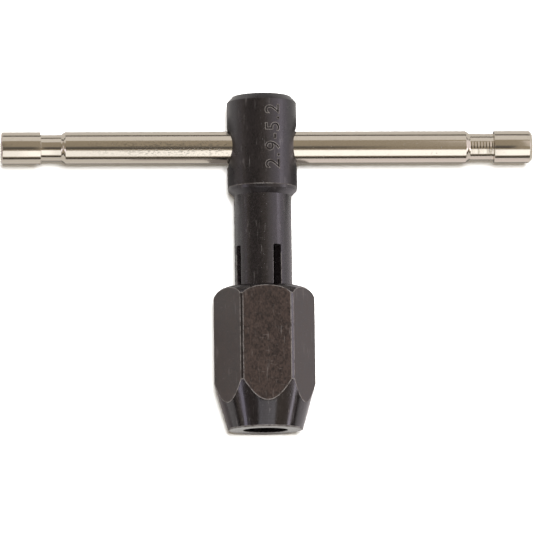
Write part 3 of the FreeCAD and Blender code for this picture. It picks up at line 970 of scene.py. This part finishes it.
class WRENCH_OT_stage(bpy.types.Operator):
    """Pale floor, soft light with reflecting cards, and the camera"""

    bl_idname = "tap_wrench.stage"
    bl_label = "Stage"

    def execute(self, context):
        stage = context.scene.tap_wrench_stage
        context.scene.view_settings.view_transform = "Standard"
        self.camera(context, stage)
        self.floor()
        self.world(context)
        self.lights(stage)
        return {"FINISHED"}

    @staticmethod
    def camera(context, stage):
        data = bpy.data.cameras.new("camera")
        data.sensor_width = 36.0
        data.lens = data.sensor_width * stage.camera_distance / stage.view_width
        data.clip_start = 0.05
        data.clip_end = 10.0
        camera = bpy.data.objects.new("camera", data)
        bpy.context.collection.objects.link(camera)
        back = Vector((-math.tan(stage.tilt_to_left), -math.tan(stage.tilt_to_nose), 1)).normalized()
        right = ALONG_Y.cross(back).normalized()
        up = back.cross(right)
        turned = Matrix.Rotation(stage.roll, 3, back)
        right, up = turned @ right, turned @ up
        matrix = Matrix((right, up, back)).transposed().to_4x4()
        aim = Vector((stage.aim_x, stage.aim_y, 0))
        matrix.translation = aim + back * stage.camera_distance
        camera.matrix_world = matrix
        context.scene.camera = camera

    @staticmethod
    def floor():
        mesh = bmesh.new()
        half_width = 3.0
        bmesh.ops.create_grid(mesh, x_segments=1, y_segments=1, size=half_width)
        tree = Tree("pale_floor")
        fine = tree.noise(tree.place(), 40.0)
        pale = tuple(colours().floor)
        tree.finish(Base_Color=tree.mix(fine, pale, tuple(part * 0.985 for part in pale)), Roughness=0.8)
        floor = new_object("floor", mesh_from("floor", mesh, [tree.material]))
        floor.location.z = FLOOR_Z
        floor.visible_glossy = False

    @staticmethod
    def world(context):
        world = bpy.data.worlds.new("studio")
        world.use_nodes = True
        background = world.node_tree.nodes["Background"]
        background.inputs["Color"].default_value = (0.42, 0.365, 0.285, 1)
        background.inputs["Strength"].default_value = 1.0
        context.scene.world = world

    def lights(self, stage):
        data = bpy.data.lights.new("overhead", "AREA")
        data.shape = "RECTANGLE"
        side = 0.3
        data.size = side
        data.size_y = side
        data.energy = stage.fill_power
        light = bpy.data.objects.new("overhead", data)
        bpy.context.collection.objects.link(light)
        light.location = (0, 0.05, 1.3)
        light.visible_glossy = False
        # Cards that only show in reflections: name, azimuth (0 is +Y, 90 is +X), low and high angle from
        # straight up, low and high angle to the side, distance, radiance.
        self.card("key_card", 180, (27, 72), (-23, 21), 0.8, (1.75, 1.75, 1.75), left_share=0.82)
        self.card("back_card", 0, (45, 82), (-60, 60), 0.8, (0.9, 0.87, 0.83))
        self.card("back_gap", 0, (82, 93), (-60, 60), 0.8, (0.1, 0.09, 0.08))
        self.card("right_wall", 90, (15, 33), (-36, 3), 0.8, (0.85, 0.79, 0.73))
        self.card("right_wall_low", 90, (33, 58), (-36, 3), 0.8, (1.15, 1.06, 1.08))
        self.card("right_strip", 90, (58, 68), (-22, 6), 0.75, (2.7, 2.5, 2.7))
        self.card("right_strip_front", 90, (68, 79), (8, 26), 0.75, (3.4, 3.2, 3.4))
        self.card("right_skirt", 90, (69, 91), (-36, 8), 0.8, (1.1, 1.02, 1.06))
        self.card("left_ceiling", 270, (9, 60), (-45, 25), 0.85, (0.2, 0.18, 0.15))
        self.card("left_strip", 270, (74, 83), (-6, 10), 0.8, (1.0, 0.95, 1.05))
        self.card("left_strip_front", 270, (59, 71), (-28, -8), 0.8, (2.2, 2.1, 2.4))
        self.card("front_gap", 180, (78, 91), (-75, 75), 0.5, (0.08, 0.07, 0.06))
        self.card("lens_gap", 180, (4, 18), (-9, 9), 0.78, (0.11, 0.1, 0.09))
        self.card("lens_rim", 180, (-3, 4), (-9, 9), 0.78, (0.22, 0.2, 0.17))
        # What reflections see of the floor, its light and shade painted in as glowing sheets, each over
        # the ones before: name, span along X and Y, radiance.
        sheets = (
            ("floor_glow", (-3, 3), (-3, 3), (0.8, 0.77, 0.73)),
            ("floor_far", (-3, 3), (0.2, 3), (0.1, 0.09, 0.08)),
            ("floor_front", (-3, 3), (-3, -0.03), (0.08, 0.07, 0.06)),
            # Painted light: a brighter patch of floor right of the chuck, as if more lit there.
            ("floor_right_painted_light", (0.008, 0.06), (-0.01, 0.046), (0.95, 0.88, 0.88)),
            # Painted shade: a dark patch of floor left of the nut, where shadow falls.
            ("floor_left_painted_shade", (-0.026, -0.009), (-0.006, 0.024), (0.4, 0.35, 0.34)),
            ("shade_under_bar", (-0.052, 0.054), (0.0492, 0.064), (0.2, 0.19, 0.18)),
            ("shade_under_chuck", (-0.01, 0.01), (-0.0006, 0.067), (0.25, 0.23, 0.22)))
        for layer, (name, span_x, span_y, colour) in enumerate(sheets, start=1):
            self.floor_card(name, layer, span_x, span_y, colour)

    @staticmethod
    def glow(name, colour, left_share=1.0):
        """Glowing card, dimmer to the left of the wrench by a share."""
        tree = Tree(name)
        across = tree.node("ShaderNodeSeparateXYZ", output="X", Vector=tree.place())
        dim_until = -30 * MM
        full_from = 50 * MM
        rise = tree.ramp(across, dim_until, full_from)
        strength = 3.0
        full = tuple(part / strength for part in colour)
        dim = tuple(part * left_share for part in full)
        return tree.finish(
            Base_Color=(0, 0, 0), Specular_IOR_Level=0.0, Roughness=1.0,
            Emission_Color=tree.mix(rise, dim, full), Emission_Strength=strength)

    def show_in_gloss_only(self, card):
        card.visible_camera = False
        card.visible_diffuse = False
        card.visible_shadow = False
        card.visible_transmission = False
        card.visible_volume_scatter = False

    def card(self, name, azimuth, polar, side, distance, colour, left_share=1.0):
        """A patch of a sphere round the wrench, given by angles."""
        mesh = bmesh.new()
        centre = Vector((0, 0.04, 0))
        facing = Matrix.Rotation(-math.radians(azimuth), 3, "Z")
        rows = 6
        columns = 10
        grid = []
        for row in range(rows + 1):
            down = math.radians(polar[0] + (polar[1] - polar[0]) * row / rows)
            line = []
            for column in range(columns + 1):
                off = math.radians(side[0] + (side[1] - side[0]) * column / columns)
                direction = facing @ Vector((
                    math.sin(off), math.sin(down) * math.cos(off), math.cos(down) * math.cos(off)))
                line.append(mesh.verts.new(centre + direction * distance))
            grid.append(line)
        for line, following in zip(grid, grid[1:]):
            for column in range(columns):
                mesh.faces.new((line[column], line[column + 1], following[column + 1], following[column]))
        card = new_object(name, mesh_from(name, mesh, [self.glow(name, colour, left_share)]))
        self.show_in_gloss_only(card)

    def floor_card(self, name, layer, span_x, span_y, colour):
        """A glowing sheet on the floor, a hair over the layer below."""
        mesh = bmesh.new()
        layer_height = 0.02 * MM
        height = FLOOR_Z + layer_height * layer
        west, east = span_x
        south, north = span_y
        outline = ((west, south), (east, south), (east, north), (west, north))
        mesh.faces.new([mesh.verts.new((x, y, height)) for x, y in outline])
        card = new_object(name, mesh_from(name, mesh, [self.glow(name, colour)]))
        self.show_in_gloss_only(card)


class WRENCH_PT_panel(bpy.types.Panel):
    """Sizes, finishes and the steps that build the wrench"""

    bl_idname = "WRENCH_PT_panel"
    bl_label = "Tap Wrench"
    bl_space_type = "VIEW_3D"
    bl_region_type = "UI"
    bl_category = "Tap Wrench"

    def draw(self, context):
        layout = self.layout
        for group in GROUPS:
            settings = getattr(context.scene, group)
            column = layout.column(align=True)
            for name in settings.__annotations__:
                column.prop(settings, name)
        for step in STEPS:
            layout.operator(step.bl_idname)


GROUPS = {
    "tap_wrench_sizes": WrenchSizes,
    "tap_wrench_colours": WrenchColours,
    "tap_wrench_stage": StageSettings,
}
STEPS = (
    WRENCH_OT_stage, WRENCH_OT_body, WRENCH_OT_fingers, WRENCH_OT_nut, WRENCH_OT_bar, WRENCH_OT_detent)


def register():
    for item in (*GROUPS.values(), *STEPS, WRENCH_PT_panel):
        bpy.utils.register_class(item)
    for name, group in GROUPS.items():
        setattr(bpy.types.Scene, name, PointerProperty(type=group))


def unregister():
    for name in GROUPS:
        delattr(bpy.types.Scene, name)
    for item in reversed((*GROUPS.values(), *STEPS, WRENCH_PT_panel)):
        bpy.utils.unregister_class(item)


def main():
    register()
    bpy.ops.tap_wrench.stage()
    bpy.ops.tap_wrench.body()
    bpy.ops.tap_wrench.fingers()
    bpy.ops.tap_wrench.nut()
    bpy.ops.tap_wrench.bar()
    bpy.ops.tap_wrench.detent()


if __name__ == "__main__":
    main()
